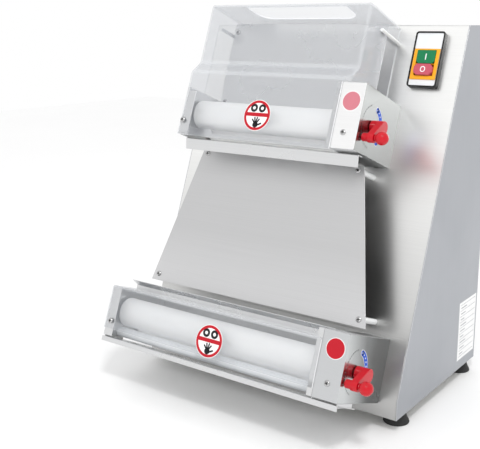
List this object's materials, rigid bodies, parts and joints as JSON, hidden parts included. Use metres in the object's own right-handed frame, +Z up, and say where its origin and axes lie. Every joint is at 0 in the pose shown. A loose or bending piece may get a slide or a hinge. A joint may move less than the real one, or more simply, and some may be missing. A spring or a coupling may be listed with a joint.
{
  "type": "dough sheeter",
  "caption": "Bench dough sheeter with two pairs of rollers in a leaning stainless body, a clear feed hood, a chute and thickness levers.",
  "frame": {"origin": "On the surface that the feet stand on, under the middle of the machine's box, levers and exit tray included.", "axes": "+Z up; the leaning front with the rollers faces -Y; +X towards the side with the levers and the switch."},
  "size_m": [0.546, 0.4974, 0.6875],
  "materials": {
    "steel_sheet": "satin brushed stainless sheet",
    "turned_steel": "bright turned steel",
    "zinc_steel": "zinc plated steel plate",
    "gear_steel": "machined steel",
    "bronze": "sintered bronze",
    "foot_rubber": "matte black rubber",
    "belt_rubber": "matte black rubber",
    "black_plastic": "satin black moulded plastic",
    "white_plastic": "satin white plastic",
    "roller_plastic": "satin white turned plastic",
    "yellow_plastic": "semi gloss yellow plastic",
    "green_plastic": "semi gloss green plastic",
    "red_plastic": "semi gloss red plastic",
    "lever_red": "glossy red moulded plastic",
    "clear_sheet": "clear polycarbonate sheet",
    "motor_paint": "dark grey machine paint"
  },
  "bodies": {
    "frame": {"front_panel": "steel_sheet", "left_side_panel": "steel_sheet", "right_side_panel": "steel_sheet", "top_panel": "steel_sheet", "back_panel": "steel_sheet", "base_plate": "zinc_steel", "lower_cover": "steel_sheet", "feet": "foot_rubber", "cable_gland": "black_plastic", "switch_bezel": "black_plastic", "switch_plate": "white_plastic", "switch_housing": "yellow_plastic", "switch_body": "black_plastic", "upper_left_cheek": "steel_sheet", "upper_right_cheek": "steel_sheet", "upper_gear_cover": "steel_sheet", "bearing_plates": "zinc_steel", "upper_scraper": "steel_sheet", "exit_lip": "steel_sheet", "hood": "clear_sheet", "hopper_plate": "steel_sheet", "standoffs": "white_plastic", "panel_screws": "turned_steel", "chute_plate": "steel_sheet", "lower_left_cheek": "steel_sheet", "lower_right_cheek": "steel_sheet", "lower_gear_cover": "steel_sheet", "bearings": "gear_steel", "lower_scraper": "white_plastic", "guard": "clear_sheet", "infeed_guide": "steel_sheet", "exit_tray": "steel_sheet", "motor": "motor_paint", "motor_cradle": "zinc_steel", "belt": "belt_rubber", "lay_brackets": "zinc_steel", "chains": "gear_steel"},
    "lower_rear_set": {"lower_rear_roller": "roller_plastic", "lower_rear_shaft": "gear_steel", "lower_rear_gear": "gear_steel"},
    "upper_rear_set": {"upper_rear_roller": "roller_plastic", "upper_rear_shaft": "gear_steel", "upper_rear_gear": "gear_steel"},
    "lower_lever_set": {"lower_axle": "gear_steel", "lower_lever": "lever_red"},
    "upper_lever_set": {"upper_axle": "gear_steel", "upper_lever": "lever_red"},
    "lower_bush_set": {"lower_bushes": "bronze"},
    "upper_bush_set": {"upper_bushes": "bronze"},
    "lower_front_set": {"lower_front_roller": "roller_plastic", "lower_front_gear": "gear_steel"},
    "upper_front_set": {"upper_front_roller": "roller_plastic", "upper_front_gear": "gear_steel"},
    "lower_knob": {"lower_plunger": "lever_red"},
    "upper_knob": {"upper_plunger": "lever_red"},
    "lower_layshaft": {"lower_lay_shaft": "gear_steel"},
    "upper_layshaft": {"upper_lay_shaft": "gear_steel"},
    "motor_rotor": {"motor_shaft": "gear_steel"},
    "start_key": {"start_button": "green_plastic"},
    "stop_key": {"stop_button": "red_plastic"}
  },
  "joints": [
    {"name": "lower_rear_spin", "type": "hinge", "parent": "frame", "child": "lower_rear_set", "pos_m": [-0.008, -0.14021, 0.09591], "axis": [1, 0, 0], "continuous": true},
    {"name": "upper_rear_spin", "type": "hinge", "parent": "frame", "child": "upper_rear_set", "pos_m": [-0.008, 0.00791, 0.45335], "axis": [1, 0, 0], "continuous": true},
    {"name": "lower_layshaft_spin", "type": "hinge", "parent": "frame", "child": "lower_layshaft", "pos_m": [-0.008, 0.03432, 0.10154], "axis": [1, 0, 0], "continuous": true},
    {"name": "upper_layshaft_spin", "type": "hinge", "parent": "frame", "child": "upper_layshaft", "pos_m": [-0.008, 0.11532, 0.40229], "axis": [1, 0, 0], "continuous": true},
    {"name": "motor_spin", "type": "hinge", "parent": "frame", "child": "motor_rotor", "pos_m": [-0.008, 0.14969, 0.116], "axis": [1, 0, 0], "continuous": true},
    {"name": "lower_lever_turn", "type": "hinge", "parent": "frame", "child": "lower_lever_set", "pos_m": [-0.008, -0.1847, 0.12992], "axis": [-1, 0, 0], "range_deg": [-45, 108]},
    {"name": "upper_lever_turn", "type": "hinge", "parent": "frame", "child": "upper_lever_set", "pos_m": [-0.008, -0.03634, 0.48767], "axis": [-1, 0, 0], "range_deg": [-45, 108]},
    {"name": "lower_bush_turn", "type": "hinge", "parent": "lower_lever_set", "child": "lower_bush_set", "pos_m": [-0.008, -0.18511, 0.12745], "axis": [-1, 0, 0], "range_deg": [-108, 45]},
    {"name": "upper_bush_turn", "type": "hinge", "parent": "upper_lever_set", "child": "upper_bush_set", "pos_m": [-0.008, -0.03617, 0.48518], "axis": [-1, 0, 0], "range_deg": [-108, 45]},
    {"name": "lower_front_spin", "type": "hinge", "parent": "lower_bush_set", "child": "lower_front_set", "pos_m": [-0.008, -0.18511, 0.12745], "axis": [1, 0, 0], "continuous": true},
    {"name": "upper_front_spin", "type": "hinge", "parent": "upper_bush_set", "child": "upper_front_set", "pos_m": [-0.008, -0.03617, 0.48518], "axis": [1, 0, 0], "continuous": true},
    {"name": "lower_knob_pull", "type": "slide", "parent": "lower_lever_set", "child": "lower_knob", "axis": [1, 0, 0], "range_m": [0, 0.006], "stiffness_N_per_m": 500, "springref_m": -0.004},
    {"name": "upper_knob_pull", "type": "slide", "parent": "upper_lever_set", "child": "upper_knob", "axis": [1, 0, 0], "range_m": [0, 0.006], "stiffness_N_per_m": 500, "springref_m": -0.004},
    {"name": "start_press", "type": "slide", "parent": "frame", "child": "start_key", "axis": [0, 0.9361, -0.3518], "range_m": [0, 0.003], "stiffness_N_per_m": 500, "springref_m": -0.002},
    {"name": "stop_press", "type": "slide", "parent": "frame", "child": "stop_key", "axis": [0, 0.9361, -0.3518], "range_m": [0, 0.003], "stiffness_N_per_m": 500, "springref_m": -0.002}
  ],
  "couplings": [
    {"joint": "upper_rear_spin", "follows": "lower_rear_spin", "ratio": 1},
    {"joint": "lower_layshaft_spin", "follows": "lower_rear_spin", "ratio": 1},
    {"joint": "upper_layshaft_spin", "follows": "lower_rear_spin", "ratio": 1},
    {"joint": "motor_spin", "follows": "lower_rear_spin", "ratio": 2},
    {"joint": "lower_front_spin", "follows": "lower_rear_spin", "ratio": -1},
    {"joint": "upper_front_spin", "follows": "lower_rear_spin", "ratio": -1},
    {"joint": "lower_bush_turn", "follows": "lower_lever_turn", "ratio": -1},
    {"joint": "upper_bush_turn", "follows": "upper_lever_turn", "ratio": -1}
  ]
}
